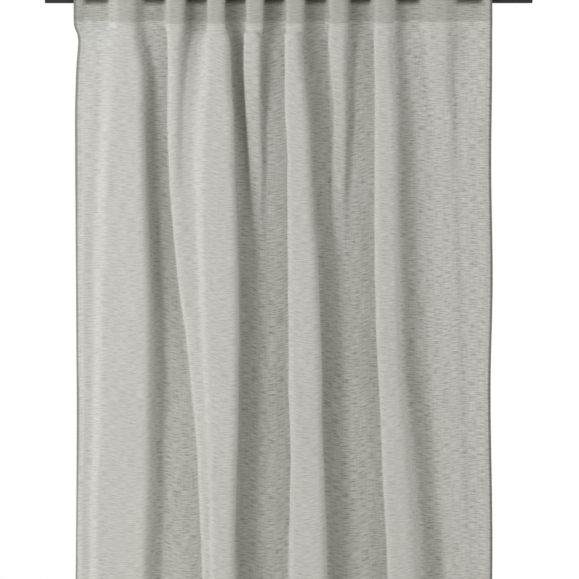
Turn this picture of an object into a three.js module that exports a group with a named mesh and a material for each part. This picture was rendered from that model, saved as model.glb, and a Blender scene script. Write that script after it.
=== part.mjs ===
// A linen curtain panel with hidden back tabs, hanging on a straight round rod.
// Millimetres. X runs along the rod, -Y faces the room and +Z is up. The origin is the middle of
// the rod, on its axis. Every cloth piece is a flat strip bent onto one drape, which keeps the
// length of the cloth: a level cut through the panel is as long as the panel is wide when flat.
import * as THREE from "three";

// Driving dimensions
const rod = { length: 1200, diameter: 25, wall: 1.2 };
const endCap = { flange: 3, plug: 18, chamfer: 0.8 };
const panel = { width: 1400, drop: 2500 };
const cloth = { thickness: 0.7 };
const header = { aboveRod: 22, depth: 95 };
const hems = { side: 16, bottom: 80 };
const seam = { width: 1.2, thickness: 0.4, inset: 3, belowTop: 8 };
const tab = { width: 40, thickness: 1.2, flange: 12, fromTop: 2, edge: 58, slack: 15 };
const label = { width: 30, length: 55, thickness: 0.4, aboveHem: 40 };
const touch = 0.3; // gap between pieces that lie on each other
const runningGap = 0.4; // between the rod and a tab that slides on it

// The drape, as it falls on a panel of this width. On another width it spreads in proportion.
const drapeWidth = 1400;
const edgeReach = 0.95; // of the cloth outside an outer tab, seen from the room
const headerCrest = 24; // across the level top of a fold between two tabs

// Where each tab stands along the rod as the panel hangs
const tabsAlongRod = [-472, -329, -226, -130, -36, 67, 176, 291, 444];

// Where each crease lies below the header, as [from x, to x, depth]. It is level from one x to the
// other, and its depth is how far it stands into the room from valleyPlane, a value of y. From the
// left edge to the right edge, valleys and crests take turns. The fourth and sixth folds run out on
// the way down, and the second and third join into one.
const lowerLevels = [
  {
    z: -100,
    valleyPlane: -8,
    creases: [
      [-516, -516, 26], [-482, -466, 26], [-420, -386, 36], [-345, -298, 0], [-289, -276, 44],
      [-244, -230, 12], [-190, -162, 50], [-125, -111, 0], [-103, -78, 42], [-60, -10, 6],
      [-2, 15, 50], [48, 96, 0], [104, 130, 42], [158, 209, 6], [217, 238, 50], [268, 326, 8],
      [346, 384, 26], [412, 438, 2], [500, 500, 8],
    ],
  },
  {
    z: -180,
    valleyPlane: -7,
    creases: [
      [-521, -521, 28], [-484, -468, 30], [-424, -368, 40], [-334, -297, 0], [-288, -276, 48],
      [-250, -232, 26], [-190, -160, 58], [-124, -111, 0], [-103, -76, 38], [-60, -9, 4],
      [-1, 22, 58], [52, 99, 0], [107, 130, 36], [157, 210, 4], [218, 242, 56], [270, 336, 6],
      [354, 382, 24], [406, 428, 2], [500, 500, 8],
    ],
  },
  {
    z: -280,
    valleyPlane: -6,
    creases: [
      [-523, -523, 30], [-488, -470, 34], [-428, -368, 50], [-334, -299, 0], [-289, -277, 52],
      [-258, -240, 40], [-196, -147, 64], [-126, -110, 0], [-101, -76, 28], [-56, -8, 4],
      [0, 34, 64], [58, 105, 0], [114, 134, 28], [156, 211, 2], [219, 250, 60], [274, 344, 6],
      [364, 394, 20], [412, 430, 4], [500, 500, 8],
    ],
  },
  {
    z: -400,
    valleyPlane: -5,
    creases: [
      [-522, -522, 30], [-492, -474, 36], [-436, -366, 54], [-334, -297, 0], [-286, -276, 55],
      [-260, -242, 46], [-200, -144, 68], [-123, -108, 0], [-98, -72, 16], [-56, 1, 2],
      [7, 42, 68], [64, 103, 0], [112, 134, 16], [154, 212, 0], [220, 252, 64], [276, 350, 6],
      [368, 394, 18], [416, 436, 6], [500, 500, 8],
    ],
  },
  {
    z: -520,
    valleyPlane: -4,
    creases: [
      [-521, -521, 28], [-496, -480, 36], [-444, -364, 56], [-330, -289, 0], [-277, -264, 58],
      [-250, -236, 54], [-202, -142, 72], [-120, -104, 0], [-92, -72, 8], [-56, 1, 0],
      [9, 48, 70], [70, 102, 0], [112, 132, 6], [150, 214, 0], [222, 254, 66], [280, 350, 5],
      [372, 398, 16], [422, 446, 6], [500, 500, 8],
    ],
  },
  {
    z: -650,
    valleyPlane: -2,
    creases: [
      [-521, -521, 28], [-500, -484, 38], [-448, -360, 57], [-324, -278, 0], [-266, -256, 62],
      [-242, -230, 60], [-206, -140, 76], [-117, -94, 0], [-76, -60, 2], [-48, 2, 0],
      [10, 58, 72], [78, 104, 0], [116, 138, 1], [152, 215, 0], [223, 256, 68], [282, 344, 4],
      [378, 404, 15], [428, 450, 6], [500, 500, 8],
    ],
  },
  {
    z: -900,
    valleyPlane: 0,
    creases: [
      [-522, -522, 28], [-504, -488, 40], [-454, -352, 58], [-312, -249, 0], [-236, -229, 64],
      [-221, -214, 67], [-198, -139, 80], [-115, -90, 0], [-78, -62, 0], [-50, 2, 0],
      [10, 65, 76], [84, 106, 0], [118, 142, 0], [156, 223, 0], [231, 264, 72], [292, 334, 2],
      [374, 412, 14], [440, 464, 5], [498, 498, 14],
    ],
  },
  {
    z: -1140,
    valleyPlane: 1,
    creases: [
      [-523, -523, 28], [-506, -490, 40], [-460, -352, 58], [-310, -222, 3], [-210, -203, 70],
      [-198, -195, 73], [-188, -141, 83], [-117, -90, 0], [-78, -62, 0], [-48, 8, 0],
      [16, 72, 78], [92, 112, 0], [124, 148, 0], [160, 231, 0], [240, 278, 74], [322, 348, 0],
      [388, 424, 15], [450, 466, 8], [500, 500, 12],
    ],
  },
  {
    z: -1390,
    valleyPlane: 3,
    creases: [
      [-524, -524, 26], [-508, -492, 40], [-466, -362, 57], [-318, -216, 6], [-204, -198, 70],
      [-194, -191, 73], [-185, -145, 84], [-122, -100, 0], [-86, -70, 0], [-54, -6, 0],
      [16, 80, 80], [101, 124, 0], [136, 156, 0], [168, 243, 0], [252, 292, 76], [340, 368, 0],
      [394, 430, 16], [452, 470, 10], [499, 499, 16],
    ],
  },
  {
    z: -2465,
    valleyPlane: 6,
    creases: [
      [-530, -530, 20], [-512, -494, 38], [-474, -380, 58], [-332, -222, 8], [-208, -200, 74],
      [-196, -193, 77], [-186, -146, 88], [-124, -100, 0], [-86, -70, 0], [-54, -8, 0],
      [16, 92, 88], [115, 136, 0], [146, 164, 0], [176, 252, 0], [264, 308, 80], [350, 374, 0],
      [396, 430, 24], [452, 470, 18], [502, 502, 24],
    ],
  },
];
const columnStep = 10; // between the upright lines of the cloth's mesh

// Derived sizes
const rodRadius = rod.diameter / 2;
const topEdge = rodRadius + header.aboveRod;
const headerFoot = topEdge - header.depth;
const hemline = topEdge - panel.drop;
const hemTop = hemline + hems.bottom;
const lowerSeam = headerFoot + seam.inset;
const upperSeam = topEdge - seam.belowTop;
const tabPitch = (panel.width - 2 * tab.edge) / (tabsAlongRod.length - 1);
const halfTab = tab.width / 2;
const spread = panel.width / drapeWidth;
const tabPlaces = tabsAlongRod.map((x) => x * spread);

// The layers of the panel, as offsets from the middle of the main cloth, towards the back
const layers = { cloth: [-cloth.thickness / 2, cloth.thickness / 2] };
layers.facing = [layers.cloth[1] + touch, layers.cloth[1] + touch + cloth.thickness];
layers.seam = [layers.cloth[0] - touch - seam.thickness, layers.cloth[0] - touch];
layers.label = [layers.facing[1] + touch, layers.facing[1] + touch + label.thickness];
const headerPlane = -rodRadius - touch - layers.facing[1]; // the cloth's middle at a tab

const linen = new THREE.MeshStandardMaterial({ color: 0xc3c1b5, roughness: 0.95, side: THREE.DoubleSide });
const thread = new THREE.MeshStandardMaterial({ color: 0xb3b0a2, roughness: 0.8 });
const satin = new THREE.MeshStandardMaterial({ color: 0xeeeeea, roughness: 0.6 });
const blackSteel = new THREE.MeshStandardMaterial({ color: 0x2b2a28, roughness: 0.45, metalness: 0.6 });
const blackPlastic = new THREE.MeshStandardMaterial({ color: 0x262524, roughness: 0.55 });

// A crease-to-crease stretch of cloth is a sine-generated curve: it turns out to the angle
// `swing` and back. The two shares are its reach and its rise per unit of cloth.
const waveSteps = 32;
function waveShares(swing, upTo = 1) {
  let reach = 0;
  let rise = 0;
  for (let i = 0; i < waveSteps; i++) {
    const angle = swing * Math.sin(Math.PI * upTo * ((i + 0.5) / waveSteps));
    reach += Math.cos(angle) / waveSteps;
    rise += Math.sin(angle) / waveSteps;
  }
  return { reach: reach * upTo, rise: rise * upTo };
}

function bisect(low, high, isTooHigh) {
  for (let i = 0; i < 50; i++) {
    const middle = (low + high) / 2;
    if (isTooHigh(middle)) high = middle;
    else low = middle;
  }
  return (low + high) / 2;
}

const steepest = 2.35;
const swingForLength = (chord, length) =>
  bisect(0, steepest, (swing) => waveShares(swing).reach < chord / length);
const swingForSlope = (slope) =>
  bisect(0, steepest, (swing) => waveShares(swing).rise > slope * waveShares(swing).reach);

// The header is level at each tab, and the spare cloth between two tabs bows into the room
function headerCreases() {
  const bow = (chord, length) => length * waveShares(swingForLength(chord, length)).rise;
  const edge = tab.edge - halfTab;
  const edgeChord = edge * edgeReach;
  const halfCrest = headerCrest / 2;
  const tuck = bow(edgeChord, edge);
  const leftEdge = tabPlaces[0] - halfTab - edgeChord;
  const rightEdge = tabPlaces.at(-1) + halfTab + edgeChord;
  const creases = [[leftEdge, leftEdge, tuck]];
  tabPlaces.forEach((place, i) => {
    creases.push([place - halfTab, place + halfTab, 0]);
    const next = tabPlaces[i + 1];
    if (next === undefined) return;
    const crest = (place + next) / 2;
    const chord = crest - place - halfTab - halfCrest;
    const depth = bow(chord, tabPitch / 2 - halfTab - halfCrest);
    creases.push([crest - halfCrest, crest + halfCrest, depth]);
  });
  creases.push([rightEdge, rightEdge, tuck]);
  return creases;
}

const levels = [
  { z: headerFoot, valleyPlane: headerPlane, creases: headerCreases() },
  ...lowerLevels.map((level) => ({
    ...level,
    creases: level.creases.map((crease) => crease.map((size) => size * spread)),
  })),
];

// The two ends of each crease at any height
function creasePoints(z) {
  const clamped = Math.min(levels[0].z, Math.max(levels.at(-1).z, z));
  const k = Math.max(1, levels.findIndex((level) => level.z <= clamped));
  const [over, under] = [levels[k - 1], levels[k]];
  const t = THREE.MathUtils.smoothstep((over.z - clamped) / (over.z - under.z), 0, 1);
  const mix = (a, b) => a + (b - a) * t;
  const points = over.creases.flatMap((crease, i) => {
    const [from, to, depth] = crease.map((size, j) => mix(size, under.creases[i][j]));
    return [{ x: from, depth }, { x: to, depth }];
  });
  return { points, plane: mix(over.valleyPlane, under.valleyPlane) };
}

function strides(points, depthScale) {
  return points.slice(1).map((to, i) => {
    const from = points[i];
    const reach = to.x - from.x;
    const rise = (to.depth - from.depth) * depthScale;
    const swing = swingForSlope(Math.abs(rise) / reach);
    return { from, reach, rise, swing, length: reach / waveShares(swing).reach };
  }).filter(({ reach }) => reach > 0);
}

// One level cut through the drape. Depths are scaled until it takes the panel's whole width.
const sectionsMade = new Map();
function section(z) {
  if (!sectionsMade.has(z)) {
    const { points, plane } = creasePoints(z);
    const total = (scale) => strides(points, scale).reduce((sum, stride) => sum + stride.length, 0);
    const depthScale = bisect(0.5, 1.6, (scale) => total(scale) > panel.width);
    sectionsMade.set(z, { plane, depthScale, strides: strides(points, depthScale) });
  }
  return sectionsMade.get(z);
}

// A point of the hung cloth: u along the flat cloth from the left edge, z the height, and
// offset behind the cloth's middle
function hung(u, z, offset) {
  const { plane, depthScale, strides: steps } = section(z);
  let left = Math.max(0, u);
  let k = 0;
  while (k < steps.length - 1 && left > steps[k].length) left -= steps[k++].length;
  const { from, reach, rise, swing, length } = steps[k];
  const share = Math.min(1, left / length);
  const whole = waveShares(swing);
  const part = waveShares(swing, share);
  const rising = whole.rise > 1e-9 ? part.rise / whole.rise : 0;
  const x = from.x + (reach * part.reach) / whole.reach;
  const y = plane - from.depth * depthScale - rise * rising;
  const turn = Math.sign(rise) * swing * Math.sin(Math.PI * share);
  return new THREE.Vector3(x + Math.sin(turn) * offset, y + Math.cos(turn) * offset, z);
}

// Shared mesh lines, so that layers that lie on each other have the same facets
const sorted = (values) => [...new Set(values)].sort((a, b) => a - b);
const seamLines = (at) => [at - seam.width / 2, at + seam.width / 2];
const sideSeams = [seamLines(hems.side - seam.inset), seamLines(panel.width - hems.side + seam.inset)];
const columns = Math.round(panel.width / columnStep);
const uLines = sorted([
  ...Array.from({ length: columns + 1 }, (_, i) => (i * panel.width) / columns),
  hems.side,
  panel.width - hems.side,
  hems.side + label.width,
  ...sideSeams.flat(),
]);
const bottomSeam = hemTop - seam.inset;
const labelFoot = hemTop + label.aboveHem;
const freeRows = [...lowerLevels.slice(0, -1).map((level) => level.z), -1900];
const zLines = [topEdge, headerFoot, ...freeRows, hemTop, hemline];
const linesWithin = (lines, [low, high]) =>
  sorted([low, ...lines.filter((v) => v > low && v < high), high]);

// A flat strip of cloth, bent onto the drape. Its front and back are cut into triangles along the
// same diagonals, so that the layers stay parallel.
function clothPiece(name, uRange, zRange, [front, back], material) {
  const us = linesWithin(uLines, uRange);
  const zs = linesWithin(zLines, zRange);
  const corners = [front, back].flatMap((offset) =>
    zs.flatMap((z) => us.map((u) => hung(u, z, offset))));
  const toBack = us.length * zs.length;
  const lastColumn = us.length - 1;
  const lastRow = zs.length - 1;
  const corner = (column, row) => row * us.length + column;
  const faces = [];
  for (let row = 0; row < lastRow; row++) {
    for (let column = 0; column < lastColumn; column++) {
      const a = corner(column, row);
      const b = corner(column + 1, row);
      const c = corner(column + 1, row + 1);
      const d = corner(column, row + 1);
      faces.push([a, b, c], [a, c, d]);
      faces.push([c, b, a].map((k) => k + toBack), [d, c, a].map((k) => k + toBack));
    }
  }
  const rim = [
    ...us.map((_, column) => corner(column, 0)),
    ...zs.map((_, row) => corner(lastColumn, row)).slice(1),
    ...us.map((_, column) => corner(lastColumn - column, lastRow)).slice(1),
    ...zs.map((_, row) => corner(0, lastRow - row)).slice(1),
  ];
  rim.slice(1).forEach((next, k) => {
    const here = rim[k];
    faces.push([here, here + toBack, next + toBack], [here, next + toBack, next]);
  });
  const shape = new THREE.BufferGeometry().setFromPoints(corners).setIndex(faces.flat());
  shape.computeVertexNormals();
  return named(name, shape, material);
}

function named(name, geometry, material) {
  const mesh = new THREE.Mesh(geometry, material);
  mesh.name = name;
  return mesh;
}

function panelPieces() {
  const whole = [0, panel.width];
  const leftHem = [0, hems.side];
  const rightHem = [panel.width - hems.side, panel.width];
  const labelSpan = [0, hems.side + label.width];
  const labelRows = [labelFoot, labelFoot + label.length];
  const sideRows = [hemTop + touch, headerFoot - touch];
  return [
    clothPiece("curtain_cloth", whole, [hemline, topEdge], layers.cloth, linen),
    clothPiece("header_facing", whole, [headerFoot, topEdge], layers.facing, linen),
    clothPiece("bottom_hem", whole, [hemline, hemTop], layers.facing, linen),
    clothPiece("side_hem_left", leftHem, sideRows, layers.facing, linen),
    clothPiece("side_hem_right", rightHem, sideRows, layers.facing, linen),
    clothPiece("header_seam_upper", whole, seamLines(upperSeam), layers.seam, thread),
    clothPiece("header_seam_lower", whole, seamLines(lowerSeam), layers.seam, thread),
    clothPiece("bottom_seam", whole, seamLines(bottomSeam), layers.seam, thread),
    clothPiece("side_seam_left", sideSeams[0], sideRows, layers.seam, thread),
    clothPiece("side_seam_right", sideSeams[1], sideRows, layers.seam, thread),
    clothPiece("care_label", labelSpan, labelRows, layers.label, satin),
  ];
}

// A tab seen from its side, drawn with y to the right and z up: sewn flat to the header above
// the rod, over and behind the rod, and forward again to the header's lower seam.
const loopSteps = { over: 7, round: 10, under: 12 };
function tabLine() {
  const flangeY = headerPlane + layers.facing[1] + touch + tab.thickness / 2;
  const loopRadius = rodRadius + runningGap + tab.thickness / 2;
  const top = topEdge - tab.fromTop;
  const foot = headerFoot + tab.fromTop;
  const lowest = -rodRadius - tab.slack;
  const at = (y, z) => new THREE.Vector3(y, z, 0);
  const over = new THREE.CubicBezierCurve3(at(flangeY, top - tab.flange), at(flangeY, loopRadius),
    at(flangeY / 2, loopRadius), at(0, loopRadius));
  const round = Array.from({ length: loopSteps.round + 1 }, (_, i) => {
    const angle = (Math.PI / 2) * (1 - i / loopSteps.round);
    return at(loopRadius * Math.cos(angle), loopRadius * Math.sin(angle));
  });
  const under = new THREE.CubicBezierCurve3(at(loopRadius, 0), at(loopRadius, lowest / 2),
    at(flangeY, lowest), at(flangeY, foot + tab.flange));
  return [
    at(flangeY, top),
    ...over.getPoints(loopSteps.over),
    ...round.slice(1, -1),
    ...under.getPoints(loopSteps.under),
    at(flangeY, foot),
  ];
}

function tabGeometry() {
  const line = tabLine();
  const side = (sign) => line.map((p, i) => {
    const next = line[Math.min(i + 1, line.length - 1)];
    const along = next.clone().sub(line[Math.max(i - 1, 0)]).normalize();
    const half = (sign * tab.thickness) / 2;
    return new THREE.Vector2(p.x - along.y * half, p.y + along.x * half);
  });
  const outline = new THREE.Shape([...side(1), ...side(-1).reverse()]);
  const solid = new THREE.ExtrudeGeometry(outline, { depth: tab.width, bevelEnabled: false });
  // The drawing's right and up become Y and Z, and the tab's width runs along X
  const standing = new THREE.Matrix4().makeBasis(
    new THREE.Vector3(0, 1, 0), new THREE.Vector3(0, 0, 1), new THREE.Vector3(1, 0, 0));
  return solid.applyMatrix4(standing).translate(-halfTab, 0, 0);
}

function tabs() {
  const geometry = tabGeometry();
  return tabPlaces.map((place, i) => {
    const piece = named(`back_tab_${i + 1}`, geometry, linen);
    piece.position.x = place;
    return piece;
  });
}

// The rod: a tube with a flush plug in each end. Turned about X.
const rodFacets = 48;
function turned(profile) {
  const points = profile.map(([radius, along]) => new THREE.Vector2(radius, along));
  return new THREE.LatheGeometry(points, rodFacets).rotateZ(-Math.PI / 2);
}

function rodTube() {
  const half = rod.length / 2 - endCap.flange - touch;
  const bore = rodRadius - rod.wall;
  const profile = [[bore, -half], [rodRadius, -half], [rodRadius, half], [bore, half], [bore, -half]];
  return named("rod_tube", turned(profile), blackSteel);
}

function rodCap(name, side) {
  const plugRadius = rodRadius - rod.wall - touch;
  const face = rod.length / 2;
  const shoulder = face - endCap.flange;
  const profile = [
    [0, shoulder - endCap.plug],
    [plugRadius, shoulder - endCap.plug],
    [plugRadius, shoulder],
    [rodRadius, shoulder],
    [rodRadius, face - endCap.chamfer],
    [rodRadius - endCap.chamfer, face],
    [0, face],
  ];
  const cap = named(name, turned(profile), blackPlastic);
  if (side < 0) cap.rotation.z = Math.PI;
  return cap;
}

const curtain = new THREE.Group();
curtain.add(
  rodTube(),
  rodCap("rod_end_cap_left", -1),
  rodCap("rod_end_cap_right", 1),
  ...panelPieces(),
  ...tabs(),
);

export default curtain;
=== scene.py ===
import math
from functools import lru_cache

import bmesh
import bpy
import numpy as np
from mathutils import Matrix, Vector


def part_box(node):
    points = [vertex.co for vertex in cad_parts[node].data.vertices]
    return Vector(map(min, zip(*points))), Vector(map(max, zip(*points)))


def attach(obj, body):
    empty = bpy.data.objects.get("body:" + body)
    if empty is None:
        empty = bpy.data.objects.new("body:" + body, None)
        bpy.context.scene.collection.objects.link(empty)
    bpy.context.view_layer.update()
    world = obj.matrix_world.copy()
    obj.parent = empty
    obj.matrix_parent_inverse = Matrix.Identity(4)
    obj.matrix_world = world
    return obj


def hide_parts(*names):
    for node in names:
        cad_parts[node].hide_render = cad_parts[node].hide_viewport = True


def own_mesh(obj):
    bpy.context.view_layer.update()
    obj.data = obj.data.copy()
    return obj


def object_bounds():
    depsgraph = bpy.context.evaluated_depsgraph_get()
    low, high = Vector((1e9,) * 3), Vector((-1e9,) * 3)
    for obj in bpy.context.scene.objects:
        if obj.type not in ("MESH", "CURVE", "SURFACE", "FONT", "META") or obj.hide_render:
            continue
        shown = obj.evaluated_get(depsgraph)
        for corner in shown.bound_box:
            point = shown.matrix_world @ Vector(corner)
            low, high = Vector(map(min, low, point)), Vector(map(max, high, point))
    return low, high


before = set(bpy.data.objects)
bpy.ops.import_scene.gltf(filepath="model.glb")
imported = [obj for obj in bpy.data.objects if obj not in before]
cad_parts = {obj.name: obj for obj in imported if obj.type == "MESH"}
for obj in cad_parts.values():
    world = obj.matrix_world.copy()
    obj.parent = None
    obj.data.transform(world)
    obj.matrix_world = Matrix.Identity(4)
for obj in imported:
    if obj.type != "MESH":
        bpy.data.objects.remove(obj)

cadBox = [list(corner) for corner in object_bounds()]
mm = 0.001
print("frame loaded:", len(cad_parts), "nodes")


def boxOf(node):
    low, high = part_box(node)
    return np.array(low), np.array(high)


# sizes that the frame gives, in mm
clothLow, clothHigh = boxOf("curtain_cloth")
facingLow = boxOf("header_facing")[0]
hemHigh = boxOf("bottom_hem")[1]
rodLow, rodHigh = boxOf("rod_tube")
topEdge = clothHigh[2] / mm
hemline = clothLow[2] / mm
headerFoot = facingLow[2] / mm
hemTop = hemHigh[2] / mm
rodRadius = (rodHigh[2] - rodLow[2]) / 2 / mm
tabNames = sorted((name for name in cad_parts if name.startswith("back_tab_")),
                  key=lambda name: int(name.split("_")[-1]))
tabPlaces = []
for tabName in tabNames:
    tabLow, tabHigh = boxOf(tabName)
    tabPlaces.append((tabLow[0] + tabHigh[0]) / 2 / mm)
halfTab = (tabHigh[0] - tabLow[0]) / 2 / mm
tabFront = tabLow[1] / mm    # the face of a tab that is sewn to the header


# Flat cloth is measured by u, from the left edge along the width, and by its height z. Every
# level cut through the panel is as long as the panel is wide, so the cloth never stretches.

drape = {
    "width": 1400.0,
    "tabEdge": 58.0,          # from the panel's edge to the middle of an outer tab, on flat cloth
    "edgeReach": 0.95,
    "headerCrest": 24.0,      # the level top of a fold between two tabs
    "headerSag": 11.0,        # how much lower the cloth hangs between two tabs
    "fullSagAt": 38,          # depth of a header fold that hangs that much lower
    "clothThickness": 0.7,
    "layerGap": 0.3,
    "seamInset": 3,           # from a seam to the edge of the layer that it holds
    "seamBelowTop": 8,
    "sideHem": 16,
}

# Down the panel, the creases at each height, after the y of the deepest valleys, all in mm. Each
# crease is level from one x to another, and its depth is how far it stands into the room. They
# run left edge, valley, crest, valley ... crest, valley, right edge. Eight folds leave the
# header, two of them run out on the way down and two join.
foldLevels = {
    -100: (-8, [
        (-516, -516, 26), (-482, -466, 26), (-420, -386, 36), (-345, -298, 0), (-289, -276, 44),
        (-244, -230, 12), (-190, -162, 50), (-125, -111, 0), (-103, -78, 42), (-60, -10, 6),
        (-2, 15, 50), (48, 96, 0), (104, 130, 42), (158, 209, 6), (217, 238, 50), (268, 326, 8),
        (346, 384, 26), (412, 438, 2), (500, 500, 8)]),
    -180: (-7, [
        (-521, -521, 28), (-484, -468, 30), (-424, -368, 40), (-334, -297, 0), (-288, -276, 48),
        (-250, -232, 26), (-190, -160, 58), (-124, -111, 0), (-103, -76, 38), (-60, -9, 4),
        (-1, 22, 58), (52, 99, 0), (107, 130, 36), (157, 210, 4), (218, 242, 56), (270, 336, 6),
        (354, 382, 24), (406, 428, 2), (500, 500, 8)]),
    -280: (-6, [
        (-523, -523, 30), (-488, -470, 34), (-428, -368, 50), (-334, -299, 0), (-289, -277, 52),
        (-258, -240, 40), (-196, -147, 64), (-126, -110, 0), (-101, -76, 28), (-56, -8, 4),
        (0, 34, 64), (58, 105, 0), (114, 134, 28), (156, 211, 2), (219, 250, 60), (274, 344, 6),
        (364, 394, 20), (412, 430, 4), (500, 500, 8)]),
    -400: (-5, [
        (-522, -522, 30), (-492, -474, 36), (-436, -366, 54), (-334, -297, 0), (-286, -276, 55),
        (-260, -242, 46), (-200, -144, 68), (-123, -108, 0), (-98, -72, 16), (-56, 1, 2),
        (7, 42, 68), (64, 103, 0), (112, 134, 16), (154, 212, 0), (220, 252, 64), (276, 350, 6),
        (368, 394, 18), (416, 436, 6), (500, 500, 8)]),
    -520: (-4, [
        (-521, -521, 28), (-496, -480, 36), (-444, -364, 56), (-330, -289, 0), (-277, -264, 58),
        (-250, -236, 54), (-202, -142, 72), (-120, -104, 0), (-92, -72, 8), (-56, 1, 0),
        (9, 48, 70), (70, 102, 0), (112, 132, 6), (150, 214, 0), (222, 254, 66), (280, 350, 5),
        (372, 398, 16), (422, 446, 6), (500, 500, 8)]),
    -650: (-2, [
        (-521, -521, 28), (-500, -484, 38), (-448, -360, 57), (-324, -278, 0), (-266, -256, 62),
        (-242, -230, 60), (-206, -140, 76), (-117, -94, 0), (-76, -60, 2), (-48, 2, 0),
        (10, 58, 72), (78, 104, 0), (116, 138, 1), (152, 215, 0), (223, 256, 68), (282, 344, 4),
        (378, 404, 15), (428, 450, 6), (500, 500, 8)]),
    -900: (0, [
        (-522, -522, 28), (-504, -488, 40), (-454, -352, 58), (-312, -249, 0), (-236, -229, 64),
        (-221, -214, 67), (-198, -139, 80), (-115, -90, 0), (-78, -62, 0), (-50, 2, 0),
        (10, 65, 76), (84, 106, 0), (118, 142, 0), (156, 223, 0), (231, 264, 72), (292, 334, 2),
        (374, 412, 14), (440, 464, 5), (498, 498, 14)]),
    -1140: (1, [
        (-523, -523, 28), (-506, -490, 40), (-460, -352, 58), (-310, -222, 3), (-210, -203, 70),
        (-198, -195, 73), (-188, -141, 83), (-117, -90, 0), (-78, -62, 0), (-48, 8, 0),
        (16, 72, 78), (92, 112, 0), (124, 148, 0), (160, 231, 0), (240, 278, 74), (322, 348, 0),
        (388, 424, 15), (450, 466, 8), (500, 500, 12)]),
    -1390: (3, [
        (-524, -524, 26), (-508, -492, 40), (-466, -362, 57), (-318, -216, 6), (-204, -198, 70),
        (-194, -191, 73), (-185, -145, 84), (-122, -100, 0), (-86, -70, 0), (-54, -6, 0),
        (16, 80, 80), (101, 124, 0), (136, 156, 0), (168, 243, 0), (252, 292, 76), (340, 368, 0),
        (394, 430, 16), (452, 470, 10), (499, 499, 16)]),
    -2465: (6, [
        (-530, -530, 20), (-512, -494, 38), (-474, -380, 58), (-332, -222, 8), (-208, -200, 74),
        (-196, -193, 77), (-186, -146, 88), (-124, -100, 0), (-86, -70, 0), (-54, -8, 0),
        (16, 92, 88), (115, 136, 0), (146, 164, 0), (176, 252, 0), (264, 308, 80), (350, 374, 0),
        (396, 430, 24), (452, 470, 18), (502, 502, 24)]),
}

waveSteps = 24
swings = np.linspace(0, 2.35, 236)
waveAngles = np.sin(math.pi * (np.arange(waveSteps) + 0.5) / waveSteps)
reachShares = np.cos(swings[:, None] * waveAngles).mean(1)
riseShares = np.sin(swings[:, None] * waveAngles).mean(1)
slopes = riseShares / reachShares
steepEnough = int(np.argmax(reachShares < 0.05))
swings, reachShares, riseShares, slopes = (
    values[:steepEnough] for values in (swings, reachShares, riseShares, slopes))


def headerCreases():
    pitch = (drape["width"] - 2 * drape["tabEdge"]) / (len(tabPlaces) - 1)

    def bow(chord, length):
        swing = np.interp(-chord / length, -reachShares, swings)
        return length * np.interp(swing, swings, riseShares)

    edge = drape["tabEdge"] - halfTab
    reach = edge * drape["edgeReach"]
    leftEdge, rightEdge = tabPlaces[0] - halfTab - reach, tabPlaces[-1] + halfTab + reach
    flat = drape["headerCrest"] / 2
    creases = [(leftEdge, leftEdge, bow(reach, edge))]
    for k, place in enumerate(tabPlaces):
        creases.append((place - halfTab, place + halfTab, 0))
        if k + 1 < len(tabPlaces):
            half = (tabPlaces[k + 1] - place) / 2
            depth = bow(half - halfTab - flat, pitch / 2 - halfTab - flat)
            creases.append((place + half - flat, place + half + flat, depth))
    creases.append((rightEdge, rightEdge, bow(reach, edge)))
    return creases


def glide(z, heights, values):
    # a smooth curve through the levels, upright where it leaves the header
    order = np.argsort(heights)
    h = np.array(heights, float)[order]
    v = np.array(values, float)[order]
    steep = np.diff(v, axis=0) / np.diff(h).reshape(-1, *[1] * (v.ndim - 1))
    below, above = steep[:-1], steep[1:]
    slope = np.zeros_like(v)
    together = np.where(below + above == 0, 1, below + above)
    slope[1:-1] = np.where(below * above > 0, 2 * below * above / together, 0)
    z = np.clip(z, h[0], h[-1])
    k = np.clip(np.searchsorted(h, z) - 1, 0, len(h) - 2)
    span = h[k + 1] - h[k]
    t = (z - h[k]) / span
    return (v[k] * (1 + 2 * t) * (1 - t) ** 2 + v[k + 1] * t * t * (3 - 2 * t)
            + slope[k] * span * t * (1 - t) ** 2 + slope[k + 1] * span * t * t * (t - 1))


headerPlane = tabFront - drape["layerGap"] * 2 - drape["clothThickness"] * 1.5
heights = [headerFoot, *foldLevels]
planes = [headerPlane] + [plane for plane, creases in foldLevels.values()]
creaseTable = [headerCreases()] + [creases for plane, creases in foldLevels.values()]

wander = np.random.RandomState(7)
wanderSize, wanderTurns, wanderStart = 2.2, wander.uniform(1.5, 4, 19), wander.uniform(0, 6.28, 19)


@lru_cache(maxsize=None)
def levelCurve(z):
    # one level cut, as lengths along it with the x, y there
    creases = glide(z, heights, creaseTable)
    down = np.clip((headerFoot - z) / 400, 0, 1)
    sway = wanderSize * down * np.sin(wanderTurns * z / 400 + wanderStart)
    ends = (creases[:, :2] + sway[:, None]).ravel()
    depths = np.repeat(np.maximum(creases[:, 2], 0), 2)
    reach = np.maximum(np.diff(ends), 0.01)

    def steps(scale):
        rise = np.diff(depths) * scale
        swing = np.interp(np.abs(rise) / reach, slopes, swings)
        return rise, swing, reach / np.interp(swing, swings, reachShares)

    low, high = 0.2, 2.5
    for _ in range(40):
        scale = (low + high) / 2
        if steps(scale)[2].sum() > drape["width"]:
            high = scale
        else:
            low = scale
    rise, swing, length = steps(scale)
    turn = swing[:, None] * waveAngles
    dx = np.cos(turn)
    dx *= (reach / dx.sum(1))[:, None]
    dy = np.sin(turn)
    dy *= (rise / np.maximum(dy.sum(1), 1e-9))[:, None]
    along = np.concatenate([[0], np.cumsum(np.repeat(length / waveSteps, waveSteps))])
    x = ends[0] + np.concatenate([[0], np.cumsum(dx)])
    y = glide(z, heights, planes) - depths[0] * scale - np.concatenate([[0], np.cumsum(dy)])
    return along, x, y, scale


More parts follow.
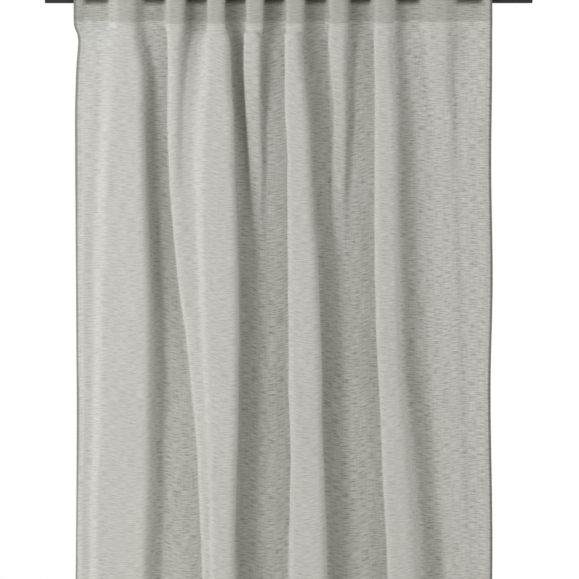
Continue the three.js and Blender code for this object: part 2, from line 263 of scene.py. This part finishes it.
def softField(seed, count, shortest, longest, stretch):
    # gentle uneven waves: count of them, with wavelengths in mm, stretched up and down
    draw = np.random.RandomState(seed)
    wave = 2 * math.pi / draw.uniform(shortest, longest, count)
    lean = draw.uniform(-1, 1, count)
    start = draw.uniform(0, 2 * math.pi, count)

    def field(u, z):
        total = np.zeros(np.broadcast(u, z).shape)
        for k in range(count):
            total += np.sin(wave[k] * (u + lean[k] * z / stretch * 2) + start[k]
                            + 1.3 * np.sin(wave[k] * z / stretch + 2 * start[k]))
        return total / math.sqrt(count)

    return field


broadWaves = softField(11, 7, 130, 320, 5)
fineCreases = softField(12, 9, 38, 90, 4)
seamPuckers = softField(13, 8, 9, 24, 3)
seamInset = drape["seamInset"]
lowerSeam = headerFoot + seamInset
bottomSeam = hemTop - seamInset


def middle(u, z):
    # where the middle of the main cloth hangs, for rows z and columns u
    u = np.clip(np.asarray(u, float), 0, drape["width"])
    z = np.asarray(z, float)
    places = np.zeros((len(z), len(u), 3))
    topAlong, _, topY, _ = levelCurve(headerFoot)
    standsOut = headerPlane - np.interp(u, topAlong, topY)
    sagging = np.clip(standsOut / drape["fullSagAt"], 0, 1.2) * drape["headerSag"]
    for row, height in enumerate(z):
        along, x, y, _ = levelCurve(float(height))
        share = u * along[-1] / drape["width"]
        places[row, :, 0] = np.interp(share, along, x)
        places[row, :, 1] = np.interp(share, along, y)
        places[row, :, 2] = height - sagging
    return places


def ruffle(u, z):
    # how far the cloth stands out of its smooth drape
    uu, zz = np.meshgrid(u, z)
    free = np.clip((lowerSeam - zz) / 160, 0, 1)
    waves = free * (1.3 * broadWaves(uu, zz) + 0.45 * fineCreases(uu, zz))
    nearSeam = np.exp(-np.abs(zz - lowerSeam) / 16)
    puckers = 0.75 * nearSeam * seamPuckers(uu, zz)
    groove = -1.7 * np.exp(-((zz - lowerSeam) / 2.2) ** 2)
    groove += -0.7 * np.exp(-((zz - bottomSeam) / 2.6) ** 2)
    puckers += 0.35 * np.exp(-np.abs(zz - bottomSeam) / 14) * seamPuckers(uu, zz + 40)
    return waves + puckers + groove


def draped(u, z, behind=0.0):
    u = np.asarray(u, float)
    z = np.asarray(z, float)
    along = middle(u + 0.8, z) - middle(u - 0.8, z)
    up = middle(u, z + 0.8) - middle(u, z - 0.8)
    toBack = np.cross(up, along)
    toBack /= np.linalg.norm(toBack, axis=2)[..., None]
    return middle(u, z) + toBack * (behind - ruffle(u, z))[..., None]


def linesOver(low, high, step, extra=()):
    count = max(1, round((high - low) / step))
    lines = set(np.linspace(low, high, count + 1).round(3))
    for value in extra:
        if low < value < high:
            lines = {line for line in lines if abs(line - value) > step * 0.3 or line in (low, high)}
            lines.add(value)
    return np.array(sorted(lines))


def clothPiece(name, u, z, behind, thickness, material):
    points = draped(u, z, behind) * mm
    columns = len(u)
    faces = [(r * columns + c, r * columns + c + 1, (r + 1) * columns + c + 1, (r + 1) * columns + c)
             for r in range(len(z) - 1) for c in range(columns - 1)]
    mesh = bpy.data.meshes.new(name)
    mesh.from_pydata(points.reshape(-1, 3).tolist(), [], faces)
    flatMap = mesh.uv_layers.new(name="flatCloth")
    vertexOf = np.zeros(len(mesh.loops), dtype=int)
    mesh.loops.foreach_get("vertex_index", vertexOf)
    uu, zz = np.meshgrid(u, z)
    flat = np.stack([uu.ravel(), (zz - hemline).ravel()], 1) * mm
    flatMap.data.foreach_set("uv", flat[vertexOf].ravel())
    fromRod = np.hypot(points[..., 1], points[..., 2]).ravel() / mm - rodRadius
    # two stored masks for painted light and shade: the rod's shadow, strongest where the cloth lies on
    # the rod, and how deep in a valley a point lies, which raises the slub contrast there
    paintedRodShadow = mesh.attributes.new("paintedRodShadow", "FLOAT", "POINT")
    paintedRodShadow.data.foreach_set("value", np.clip((8.5 - fromRod) / 4, 0, 1) * 0.85)
    standsOut = glide(z, heights, planes)[:, None] - points[..., 1] / mm
    recess = mesh.attributes.new("recess", "FLOAT", "POINT")
    recess.data.foreach_set("value", np.clip(1 - standsOut / 34, 0, 1).ravel())
    piece = bpy.data.objects.new(name, mesh)
    bpy.context.scene.collection.objects.link(piece)
    bpy.ops.object.select_all(action="DESELECT")
    piece.select_set(True)
    bpy.context.view_layer.objects.active = piece
    solidify = piece.modifiers.new("cloth thickness", "SOLIDIFY")
    solidify.thickness = thickness * mm
    solidify.offset = 0
    bpy.ops.object.modifier_apply(modifier=solidify.name)
    bpy.ops.object.shade_smooth()
    piece.data.materials.append(material)
    return piece


def colour(code):
    # an sRGB hex colour as the linear colour that shaders take
    parts = [int(code[k:k + 2], 16) / 255 for k in (0, 2, 4)]
    return [*(c / 12.92 if c <= 0.04045 else ((c + 0.055) / 1.055) ** 2.4 for c in parts), 1.0]


def addNode(tree, kind, links=(), **settings):
    # one node: settings by socket name or number, links as (socket, other node, its output)
    node = tree.nodes.new(kind)
    sockets = settings.pop("sockets", {})
    for key, value in settings.items():
        setattr(node, key, value)
    for key, value in sockets.items():
        node.inputs[key].default_value = value
    for socket, other, output in links:
        tree.links.new(other.outputs[output], node.inputs[socket])
    return node


def newMaterial(name):
    material = bpy.data.materials.new(name)
    material.use_nodes = True
    material.node_tree.nodes.clear()
    return material, material.node_tree


linenLook = {
    "light": "cccbc5",
    "dark": "8d8974",
    "edge": "7d796c",      # painted shade along the turned side edges, for the folded layers there letting less light through
    "edgeShadeWidth": 8,         # mm
    "paintedRodShadow": "4d483f",   # painted shade where the sheer cloth lies on the black rod: the rod's shadow from the light behind, and the rod seen through the cloth
    "slubLength": 22,      # mm, of a thick stretch in a weft thread
    "slubThickness": 2.5,  # mm: a few threads together, since one is too fine to show
    "threadPitch": 1.1,    # mm: twice the real pitch, so that the weave shows close up
    "lightThrough": 0.14,  # share of the light that comes through from behind
    "thinThrough": "fff4da",   # tint of light through the thin places, and through the slubs
    "thickThrough": "756c58",
    "meanTone": 0.24,      # of the mix of light and dark threads
    "crestContrast": 0.6,  # slub contrast, low on the crests and raised in the valleys: painted light and shade, for light from behind showing through the weave there
    "valleyContrast": 1.8,
    "sheer": 0.035,         # share seen straight through the open weave
}


def linenMaterial(name, look):
    # washed linen voile, plain weave: uneven flax threads give level slubs, and no gloss
    material, tree = newMaterial(name)
    flat = addNode(tree, "ShaderNodeUVMap", uv_map="flatCloth")
    slubScale = (1000 / look["slubLength"], 1000 / look["slubThickness"], 1)
    slubPlace = addNode(tree, "ShaderNodeMapping", [("Vector", flat, "UV")], sockets={"Scale": slubScale})
    slubs = addNode(tree, "ShaderNodeTexNoise", [("Vector", slubPlace, "Vector")],
                    noise_dimensions="2D", sockets={"Scale": 1.0, "Detail": 2.0, "Roughness": 0.6})
    evenShare = addNode(tree, "ShaderNodeMapRange", [("Value", slubs, "Fac")],
                        sockets={"From Min": 0.3, "From Max": 0.7, "To Min": 0.06, "To Max": 0.24})
    thickShare = addNode(tree, "ShaderNodeMapRange", [("Value", slubs, "Fac")],
                         sockets={"From Min": 0.58, "From Max": 0.72, "To Min": 0.0, "To Max": 0.16})
    warpScale = (1000 / 2.6, 1000 / 60, 1)
    warpPlace = addNode(tree, "ShaderNodeMapping", [("Vector", flat, "UV")], sockets={"Scale": warpScale})
    warp = addNode(tree, "ShaderNodeTexNoise", [("Vector", warpPlace, "Vector")],
                   noise_dimensions="2D", sockets={"Scale": 1.0, "Detail": 1.0, "Roughness": 0.5})
    warpShare = addNode(tree, "ShaderNodeMapRange", [("Value", warp, "Fac")],
                        sockets={"From Min": 0.3, "From Max": 0.7, "To Min": 0.02, "To Max": 0.1})
    wefts = addNode(tree, "ShaderNodeMath", [(0, evenShare, 0), (1, thickShare, 0)], operation="ADD")
    threads = addNode(tree, "ShaderNodeMath", [(0, wefts, 0), (1, warpShare, 0)], operation="ADD")
    fromMean = addNode(tree, "ShaderNodeMath", [(0, threads, 0)], operation="SUBTRACT",
                       sockets={1: look["meanTone"]})
    # painted light and shade: the slub contrast rises from the crests into the valleys, for light from
    # behind showing through the weave there
    recess = addNode(tree, "ShaderNodeAttribute", attribute_name="recess")
    contrast = addNode(tree, "ShaderNodeMapRange", [("Value", recess, "Fac")],
                       sockets={"To Min": look["crestContrast"], "To Max": look["valleyContrast"]})
    varied = addNode(tree, "ShaderNodeMath", [(0, fromMean, 0), (1, contrast, 0)],
                     operation="MULTIPLY")
    tone = addNode(tree, "ShaderNodeMath", [(0, varied, 0)], operation="ADD", use_clamp=True,
                   sockets={1: look["meanTone"]})
    weave = addNode(tree, "ShaderNodeMix", [("Factor", tone, 0)], data_type="RGBA")
    weave.inputs[6].default_value = colour(look["light"])
    weave.inputs[7].default_value = colour(look["dark"])
    place = addNode(tree, "ShaderNodeSeparateXYZ", [("Vector", flat, "UV")])
    fromMiddle = addNode(tree, "ShaderNodeMath", [(0, place, "X")], operation="SUBTRACT",
                         sockets={1: drape["width"] * mm / 2})
    outward = addNode(tree, "ShaderNodeMath", [(0, fromMiddle, 0)], operation="ABSOLUTE")
    # painted shade along both side edges: the outermost few mm of the cloth are darkened toward the edge
    # colour
    paintedEdgeShade = addNode(tree, "ShaderNodeMapRange", [("Value", outward, 0)],
                         sockets={"From Min": drape["width"] * mm / 2 - look["edgeShadeWidth"] * mm,
                                  "From Max": drape["width"] * mm / 2 - look["edgeShadeWidth"] * mm / 2,
                                  "To Min": 0.0, "To Max": 0.75})
    # painted shade: the header above the lower seam is darkened 30 % toward the dark thread colour, for
    # less light coming through its two layers
    paintedHeaderShade = addNode(tree, "ShaderNodeMapRange", [("Value", place, "Y")],
                      sockets={"From Min": (lowerSeam - 1 - hemline) * mm,
                               "From Max": (lowerSeam + 1 - hemline) * mm, "To Min": 0.0, "To Max": 0.3})
    header = addNode(tree, "ShaderNodeMix", [("Factor", paintedHeaderShade, 0), (6, weave, 2)],
                     data_type="RGBA")
    header.inputs[7].default_value = colour(look["dark"])
    edged = addNode(tree, "ShaderNodeMix", [("Factor", paintedEdgeShade, 0), (6, header, 2)],
                    data_type="RGBA")
    edged.inputs[7].default_value = colour(look["edge"])
    # painted rod shadow: the cloth is darkened toward a dark brown where it lies on the rod
    paintedRodShadow = addNode(tree, "ShaderNodeAttribute", attribute_name="paintedRodShadow")
    paint = addNode(tree, "ShaderNodeMix", [("Factor", paintedRodShadow, "Fac"), (6, edged, 2)],
                    data_type="RGBA")
    paint.inputs[7].default_value = colour(look["paintedRodShadow"])
    pitch = look["threadPitch"] * mm
    weft = addNode(tree, "ShaderNodeTexWave", [("Vector", flat, "UV")], wave_type="BANDS",
                   bands_direction="Y", sockets={"Scale": 0.314 / pitch, "Distortion": 1.2,
                                                 "Detail": 1.0, "Detail Scale": 40.0})
    warpRibs = addNode(tree, "ShaderNodeTexWave", [("Vector", flat, "UV")], wave_type="BANDS",
                       bands_direction="X", sockets={"Scale": 0.314 / pitch, "Distortion": 1.2,
                                                     "Detail": 1.0, "Detail Scale": 40.0})
    ribs = addNode(tree, "ShaderNodeMath", [(0, weft, "Fac"), (1, warpRibs, "Fac")], operation="MULTIPLY")
    relief = addNode(tree, "ShaderNodeMath", [(0, ribs, 0), (1, slubs, "Fac")], operation="ADD")
    bump = addNode(tree, "ShaderNodeBump", [("Height", relief, 0)],
                   sockets={"Strength": 0.08, "Distance": 0.0006})
    cloth = addNode(tree, "ShaderNodeBsdfPrincipled", [("Base Color", paint, 2), ("Normal", bump, 0)],
                    sockets={"Roughness": 0.92, "Specular IOR Level": 0.18, "Sheen Weight": 0.08,
                             "Sheen Roughness": 0.6})
    blocked = addNode(tree, "ShaderNodeMapRange", [("Value", slubs, "Fac")],
                      sockets={"From Min": 0.32, "From Max": 0.68})
    warm = addNode(tree, "ShaderNodeMix", [("Factor", blocked, 0)], data_type="RGBA")
    warm.inputs[6].default_value = colour(look["thinThrough"])
    warm.inputs[7].default_value = colour(look["thickThrough"])
    glow = addNode(tree, "ShaderNodeBsdfTranslucent", [("Color", warm, 2), ("Normal", bump, 0)])
    body = addNode(tree, "ShaderNodeMixShader", [(1, cloth, 0), (2, glow, 0)],
                   sockets={0: look["lightThrough"]})
    holes = addNode(tree, "ShaderNodeBsdfTransparent")
    openShare = addNode(tree, "ShaderNodeMapRange", [("Value", slubs, "Fac")],
                        sockets={"From Min": 0.35, "From Max": 0.75, "To Min": look["sheer"] * 2,
                                 "To Max": 0.0})
    surface = addNode(tree, "ShaderNodeMixShader", [(0, openShare, 0), (1, body, 0), (2, holes, 0)])
    addNode(tree, "ShaderNodeOutputMaterial", [("Surface", surface, 0)])
    return material


def plainMaterial(name, code, roughness, metallic=0.0, grain=0.4, depth=0.05, specular=0.5):
    # moulded, spun or coated surfaces: one colour with a fine grain, in mm, that breaks the gloss
    material, tree = newMaterial(name)
    place = addNode(tree, "ShaderNodeTexCoord")
    speck = addNode(tree, "ShaderNodeTexNoise", [("Vector", place, "Object")],
                    sockets={"Scale": 1000 / grain, "Detail": 2.0})
    shade = addNode(tree, "ShaderNodeMapRange", [("Value", speck, "Fac")],
                    sockets={"To Min": 0.75, "To Max": 1.25})
    paint = addNode(tree, "ShaderNodeMix", [("Factor", shade, 0)], data_type="RGBA", blend_type="MIX")
    base = colour(code)
    paint.inputs[6].default_value = [c * 0.85 for c in base[:3]] + [1]
    paint.inputs[7].default_value = base
    gloss = addNode(tree, "ShaderNodeMapRange", [("Value", speck, "Fac")],
                    sockets={"To Min": roughness * 0.85, "To Max": min(1, roughness * 1.15)})
    bump = addNode(tree, "ShaderNodeBump", [("Height", speck, "Fac")],
                   sockets={"Strength": 0.4, "Distance": depth * mm})
    coat = addNode(tree, "ShaderNodeBsdfPrincipled",
                   [("Base Color", paint, 2), ("Roughness", gloss, 0), ("Normal", bump, 0)],
                   sockets={"Metallic": metallic, "Specular IOR Level": specular})
    addNode(tree, "ShaderNodeOutputMaterial", [("Surface", coat, 0)])
    return material


linen = linenMaterial("washed linen voile", linenLook)
threadMat = plainMaterial("spun polyester thread", "b9b5a8", 0.7, grain=0.25, specular=0.3)
satinMat = plainMaterial("woven satin ribbon", "ecebe6", 0.45, grain=0.3)
powderMat = plainMaterial("matt black powder coat", "343330", 0.5, grain=0.5, depth=0.08)
plasticMat = plainMaterial("moulded black nylon", "2b2a29", 0.55, grain=0.8, depth=0.05)
print("materials made")


# the cloth pieces of the panel
width = drape["width"]
hemWidth = drape["sideHem"]
gap = drape["layerGap"]
thin = drape["clothThickness"]
behindOne = thin + gap
detail = {"across": 7.0, "down": 14.0}

sideLines = [hemWidth, width - hemWidth]
across = linesOver(0, width, detail["across"], sideLines)
seamBands = [lowerSeam + step for step in (-14, -7, -3.5, -1.5, 0, 1.5, 3.5, 7, 14)]
rodBands = [-17, -13, -9, 0, 9, 13, 17]
footBands = [bottomSeam + step for step in (-8, -3.5, 0, 3, 8)]
down = linesOver(hemline, topEdge, detail["down"], seamBands + footBands + rodBands)
cloth = clothPiece("linen_panel", across, down, 0, thin, linen)
facingLines = linesOver(headerFoot, topEdge, detail["down"], seamBands + rodBands)
facing = clothPiece("header_facing_cloth", across, facingLines, behindOne, thin, linen)
footLines = linesOver(hemline, hemTop, detail["down"], footBands)
foot = clothPiece("bottom_hem_cloth", across, footLines, behindOne, thin, linen)
hemLines = linesOver(hemTop + gap, headerFoot - gap, detail["down"])
leftLines = linesOver(0, hemWidth, 4)
leftHem = clothPiece("left_hem_cloth", leftLines, hemLines, behindOne, thin, linen)
rightLines = leftLines + width - hemWidth
rightHem = clothPiece("right_hem_cloth", rightLines, hemLines, behindOne, thin, linen)
print("cloth made:", len(cloth.data.polygons), "faces")


# lockstitch: each stitch is a small long bead of thread, in mm
stitch = {"pitch": 3.6, "length": 3.0, "thick": 0.55, "standsOff": 0.1}


def oneStitch():
    bpy.ops.object.select_all(action="DESELECT")
    bpy.ops.mesh.primitive_uv_sphere_add(segments=6, ring_count=4, radius=0.5)
    ball = bpy.context.object
    bpy.ops.object.mode_set(mode="EDIT")
    bpy.ops.mesh.select_all(action="SELECT")
    bpy.ops.transform.rotate(value=math.pi / 2, orient_axis="Y", center_override=(0, 0, 0))
    bpy.ops.transform.resize(value=(stitch["length"], stitch["thick"], stitch["thick"]))
    bpy.ops.object.mode_set(mode="OBJECT")
    corners = np.array([v.co for v in ball.data.vertices])
    faces = [tuple(p.vertices) for p in ball.data.polygons]
    bpy.data.objects.remove(ball)
    return corners, faces


stitchCorners, stitchFaces = oneStitch()
offFace = thin / 2 + stitch["standsOff"]
seamSides = (-offFace, behindOne + offFace)


def stitchPiece(name, places, alongs, material):
    # places and alongs are n x 3: each stitch lies along its own direction
    alongs = alongs / np.linalg.norm(alongs, axis=1)[:, None]
    outward = np.cross(alongs, np.array([0.0, 0.0, 1.0]) + alongs[:, [1, 2, 0]] * 0.01)
    outward /= np.linalg.norm(outward, axis=1)[:, None]
    side = np.cross(outward, alongs)
    frames = np.stack([alongs, outward, side], 1)
    corners = (stitchCorners @ frames + places[:, None, :]).reshape(-1, 3) * mm
    step = len(stitchCorners)
    faces = [tuple(v + k * step for v in face) for k in range(len(places)) for face in stitchFaces]
    mesh = bpy.data.meshes.new(name)
    mesh.from_pydata(corners.tolist(), [], faces)
    mesh.materials.append(material)
    piece = bpy.data.objects.new(name, mesh)
    bpy.context.scene.collection.objects.link(piece)
    return piece


def levelSeam(name, z):
    u = np.arange(stitch["pitch"], width - 1, stitch["pitch"])
    places, alongs = [], []
    for behind in seamSides:
        row = draped(u, [z], behind)[0]
        places.append(row)
        alongs.append(draped(u + 0.5, [z], behind)[0] - row)
    return stitchPiece(name, np.concatenate(places), np.concatenate(alongs), threadMat)


def uprightSeam(name, u):
    z = np.arange(hemTop + seamInset, headerFoot - 2, stitch["pitch"])
    places, alongs = [], []
    for behind in seamSides:
        column = draped([u], z, behind)[:, 0]
        places.append(column)
        alongs.append(np.gradient(column, axis=0))
    return stitchPiece(name, np.concatenate(places), np.concatenate(alongs), threadMat)


upperStitches = levelSeam("upper_header_stitches", topEdge - drape["seamBelowTop"])
lowerStitches = levelSeam("lower_header_stitches", lowerSeam)
bottomStitches = levelSeam("bottom_hem_stitches", bottomSeam)
leftStitches = uprightSeam("left_hem_stitches", hemWidth - seamInset)
rightStitches = uprightSeam("right_hem_stitches", width - hemWidth + seamInset)
print("stitches made")


# a blank ribbon at the foot of the left hem, in mm
labelLook = {"width": 30, "length": 55, "thickness": 0.4, "aboveHem": 40}
labelFoot = hemTop + labelLook["aboveHem"]
labelAcross = linesOver(0, hemWidth + labelLook["width"], 3)
labelDown = linesOver(labelFoot, labelFoot + labelLook["length"], 4)
behindHem = behindOne + thin / 2 + gap + labelLook["thickness"] / 2
careLabel = clothPiece("blank_care_label", labelAcross, labelDown, behindHem,
                       labelLook["thickness"], satinMat)


# the straps behind the header, in mm
tabLook = {"thickness": 1.2, "flange": 12, "slack": 15, "fromTop": 2, "runningGap": 0.4}


def tabLine():
    half = tabLook["thickness"] / 2
    front = tabFront + half
    loop = rodRadius + tabLook["runningGap"] + half
    top = topEdge - tabLook["fromTop"]
    lowest = -rodRadius - tabLook["slack"]
    tabFoot = headerFoot + tabLook["fromTop"]

    def bend(a, b, c, d, count):
        t = np.linspace(0, 1, count)[:, None]
        a, b, c, d = (np.array(p, float) for p in (a, b, c, d))
        return a * (1 - t) ** 3 + 3 * b * t * (1 - t) ** 2 + 3 * c * t * t * (1 - t) + d * t ** 3

    angles = np.linspace(math.pi / 2, 0, 14)
    over = bend((front, top - tabLook["flange"]), (front, loop), (front / 2, loop), (0, loop), 12)
    around = np.stack([loop * np.cos(angles), loop * np.sin(angles)], 1)
    sewn = (front, tabFoot + tabLook["flange"])
    under = bend((loop, 0), (loop, lowest / 2), (front, lowest), sewn, 20)
    straight = [[(front, top - s) for s in (0, 4, 8)], [(front, tabFoot + s) for s in (8, 4, 0)]]
    return np.concatenate([straight[0], over, around[1:-1], under, straight[1]])


def backTab(name, place):
    line = tabLine()
    columns = np.linspace(-halfTab, halfTab, 9)
    points = np.zeros((len(line), len(columns), 3))
    points[:, :, 0] = place + columns
    points[:, :, 1] = line[:, None, 0]
    points[:, :, 2] = line[:, None, 1]
    gone = np.concatenate([[0], np.cumsum(np.linalg.norm(np.diff(line, axis=0), axis=1))])
    n = len(columns)
    faces = [(r * n + c, (r + 1) * n + c, (r + 1) * n + c + 1, r * n + c + 1)
             for r in range(len(line) - 1) for c in range(n - 1)]
    mesh = bpy.data.meshes.new(name)
    mesh.from_pydata((points.reshape(-1, 3) * mm).tolist(), [], faces)
    flatMap = mesh.uv_layers.new(name="flatCloth")
    vertexOf = np.zeros(len(mesh.loops), dtype=int)
    mesh.loops.foreach_get("vertex_index", vertexOf)
    uu, vv = np.meshgrid(columns + place, gone)
    flatMap.data.foreach_set("uv", (np.stack([uu.ravel(), vv.ravel()], 1) * mm)[vertexOf].ravel())
    piece = bpy.data.objects.new(name, mesh)
    bpy.context.scene.collection.objects.link(piece)
    bpy.ops.object.select_all(action="DESELECT")
    piece.select_set(True)
    bpy.context.view_layer.objects.active = piece
    wall = piece.modifiers.new("two layers", "SOLIDIFY")
    wall.thickness = tabLook["thickness"] * mm
    wall.offset = 0
    bpy.ops.object.modifier_apply(modifier=wall.name)
    edge = piece.modifiers.new("turned edges", "BEVEL")
    edge.width = 0.4 * mm
    edge.segments = 2
    edge.limit_method = "ANGLE"
    bpy.ops.object.modifier_apply(modifier=edge.name)
    bpy.ops.object.shade_smooth()
    piece.data.materials.append(linen)
    return piece


tabPieces = [backTab("tab_strap_" + name.split("_")[-1], place)
             for name, place in zip(tabNames, tabPlaces)]
print("tabs made:", len(tabPieces))


# the rod and its caps, in mm
rodLook = {"wall": 1.2, "plug": 18, "plugInset": 1.5, "rim": 0.7, "capGap": 0.3}


def rodPiece():
    bpy.ops.object.select_all(action="DESELECT")
    length = rodHigh[0] - rodLow[0]
    bpy.ops.mesh.primitive_cylinder_add(vertices=96, radius=rodRadius * mm, depth=length,
                                        end_fill_type="NOTHING", rotation=(0, math.pi / 2, 0))
    tube = bpy.context.object
    tube.name = "powder_coated_tube"
    bpy.ops.object.transform_apply(location=True, rotation=True, scale=True)
    wall = tube.modifiers.new("tube wall", "SOLIDIFY")
    wall.thickness = rodLook["wall"] * mm
    wall.offset = -1
    bpy.ops.object.modifier_apply(modifier=wall.name)
    bpy.ops.object.shade_smooth_by_angle(angle=math.radians(35))
    tube.data.materials.append(powderMat)
    return tube


def capPiece(name, side):
    bpy.ops.object.select_all(action="DESELECT")
    inner, outer = rodHigh[0] + rodLook["capGap"] * mm, boxOf("rod_end_cap_right")[1][0]
    bpy.ops.mesh.primitive_cylinder_add(vertices=96, radius=rodRadius * mm, depth=outer - inner,
                                        location=(side * (inner + outer) / 2, 0, 0),
                                        rotation=(0, side * math.pi / 2, 0))
    cap = bpy.context.object
    cap.name = name
    bpy.ops.object.transform_apply(location=True, rotation=True, scale=True)
    bpy.ops.object.mode_set(mode="EDIT")
    shape = bmesh.from_edit_mesh(cap.data)
    for face in shape.faces:
        face.select_set(face.normal.x * side < -0.9)
    bmesh.update_edit_mesh(cap.data)
    bpy.ops.mesh.inset(thickness=rodLook["plugInset"] * mm)
    plug = (-side * rodLook["plug"] * mm, 0, 0)
    bpy.ops.mesh.extrude_region_move(TRANSFORM_OT_translate={"value": plug})
    bpy.ops.mesh.select_all(action="SELECT")
    bpy.ops.mesh.normals_make_consistent(inside=False)
    bpy.ops.object.mode_set(mode="OBJECT")
    rim = cap.modifiers.new("rounded rim", "BEVEL")
    rim.width = rodLook["rim"] * mm
    rim.segments = 3
    rim.limit_method = "ANGLE"
    rim.angle_limit = math.radians(40)
    bpy.ops.object.modifier_apply(modifier=rim.name)
    bpy.ops.object.shade_smooth_by_angle(angle=math.radians(35))
    cap.data.materials.append(plasticMat)
    return cap


tube = rodPiece()
leftCap = capPiece("nylon_cap_left", -1)
rightCap = capPiece("nylon_cap_right", 1)
print("rod made")


# what moves with what: the cloth pieces and the left tab go with the panel, each other tab with a body of
# its own, and the rod with its caps
softPieces = {
    cloth: "curtain_cloth", facing: "header_facing", foot: "bottom_hem",
    leftHem: "side_hem_left", rightHem: "side_hem_right",
    upperStitches: "header_seam_upper", lowerStitches: "header_seam_lower",
    bottomStitches: "bottom_seam", leftStitches: "side_seam_left", rightStitches: "side_seam_right",
    careLabel: "care_label",
}
for piece, node in softPieces.items():
    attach(piece, "panel")
    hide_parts(node)
    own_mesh(piece)
for strap, node in zip(tabPieces, tabNames):
    number = node.split("_")[-1]
    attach(strap, "panel" if number == "1" else f"tab_{number}")
    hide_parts(node)
for piece, node in ((tube, "rod_tube"), (leftCap, "rod_end_cap_left"), (rightCap, "rod_end_cap_right")):
    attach(piece, "rod")
    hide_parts(node)


studio = {
    "floorDrop": 0.012,      # metres from the hem to the floor
    "cameraDistance": 7.0,
    "frameWidth": 1.4267,    # metres of the rod that the frame takes in
    "aim": (0.002, -0.718),
    "contrast": 0.8,         # under 1 it deepens the darker tones and leaves white as it is
    "leftWall": 2.95,        # brightness of the white walls at the sides
    "rightWall": 2.7,
    "ahead": 0.08,           # and of the white ahead and behind
    "behind": 0.68,
    "frontTint": "f2f5ff",
    "backTint": "f6f4ee",
    "left": 46,              # watts
    "back": 42,
}


def plainFloor():
    bpy.ops.object.select_all(action="DESELECT")
    bpy.ops.mesh.primitive_plane_add(size=14, location=(0, 0, cadBox[0][2] - studio["floorDrop"]))
    floor = bpy.context.object
    floor.name = "plain_floor"
    material, tree = newMaterial("pale matt floor paint")
    paint = addNode(tree, "ShaderNodeBsdfPrincipled",
                    sockets={"Base Color": colour("e4dfd2"), "Roughness": 0.8})
    addNode(tree, "ShaderNodeOutputMaterial", [("Surface", paint, 0)])
    floor.data.materials.append(material)


def areaLight(name, place, target, size, power, tint):
    lamp = bpy.data.lights.new(name, "AREA")
    lamp.shape = "RECTANGLE"
    lamp.size, lamp.size_y = size
    lamp.energy = power
    lamp.color = colour(tint)[:3]
    holder = bpy.data.objects.new(name, lamp)
    holder.location = place
    aimed = np.array(target) - np.array(place)
    holder.rotation_euler = Vector(aimed).to_track_quat("-Z", "Y").to_euler()
    holder.visible_camera = False
    bpy.context.scene.collection.objects.link(holder)


def whiteAround():
    # plain white to look at, but as a light it is brightest at the sides in front of the panel,
    # as from two long white walls, and dim behind it
    world = bpy.data.worlds.new("white studio")
    bpy.context.scene.world = world
    world.use_nodes = True
    tree = world.node_tree
    tree.nodes.clear()
    place = addNode(tree, "ShaderNodeTexCoord")
    direction = addNode(tree, "ShaderNodeSeparateXYZ", [("Vector", place, "Generated")])
    leftWall = addNode(tree, "ShaderNodeMapRange", [("Value", direction, "X")],
                       interpolation_type="SMOOTHSTEP",
                       sockets={"From Min": 0, "From Max": -1, "To Min": 0,
                                "To Max": studio["leftWall"]})
    rightWall = addNode(tree, "ShaderNodeMapRange", [("Value", direction, "X")],
                        interpolation_type="SMOOTHSTEP",
                        sockets={"From Min": 0, "From Max": 1, "To Min": 0,
                                 "To Max": studio["rightWall"]})
    walls = addNode(tree, "ShaderNodeMath", [(0, leftWall, 0), (1, rightWall, 0)], operation="ADD")
    front = addNode(tree, "ShaderNodeMath", [(0, walls, 0)], operation="ADD",
                    sockets={1: studio["ahead"]})
    behind = addNode(tree, "ShaderNodeMapRange", [("Value", direction, "Y")],
                     sockets={"From Min": -0.2, "From Max": 0.3})
    strength = addNode(tree, "ShaderNodeMix", [("Factor", behind, 0), (2, front, 0)],
                       sockets={3: studio["behind"]})
    tint = addNode(tree, "ShaderNodeMix", [("Factor", behind, 0)], data_type="RGBA")
    tint.inputs[6].default_value = colour(studio["frontTint"])
    tint.inputs[7].default_value = colour(studio["backTint"])
    lamp = addNode(tree, "ShaderNodeBackground", [("Color", tint, 2), ("Strength", strength, 0)])
    backdrop = addNode(tree, "ShaderNodeBackground", sockets={"Color": (1, 1, 1, 1), "Strength": 1.0})
    path = addNode(tree, "ShaderNodeLightPath")
    sky = addNode(tree, "ShaderNodeMixShader", [(0, path, "Is Camera Ray"), (1, lamp, 0),
                                                (2, backdrop, 0)])
    addNode(tree, "ShaderNodeOutputWorld", [("Surface", sky, 0)])


plainFloor()
whiteAround()
panelMiddle = (0, 0, -0.9)
areaLight("left softbox", (-2.3, -2.1, -0.5), panelMiddle, (0.8, 2.4),
          studio["left"], studio["frontTint"])
areaLight("light behind", (0.6, 3.2, -0.2), panelMiddle, (3.0, 3.0),
          studio["back"], studio["backTint"])

camera = bpy.data.cameras.new("front view")
camera.sensor_width = 36
camera.lens = 36 * studio["cameraDistance"] / studio["frameWidth"]
viewer = bpy.data.objects.new("front view", camera)
viewer.location = (studio["aim"][0], -studio["cameraDistance"], studio["aim"][1])
viewer.rotation_euler = (math.pi / 2, 0, 0)
bpy.context.scene.collection.objects.link(viewer)
bpy.context.scene.camera = viewer
bpy.context.scene.view_settings.view_transform = "Standard"
bpy.context.scene.view_settings.gamma = studio["contrast"]
print("floor, light and camera set")
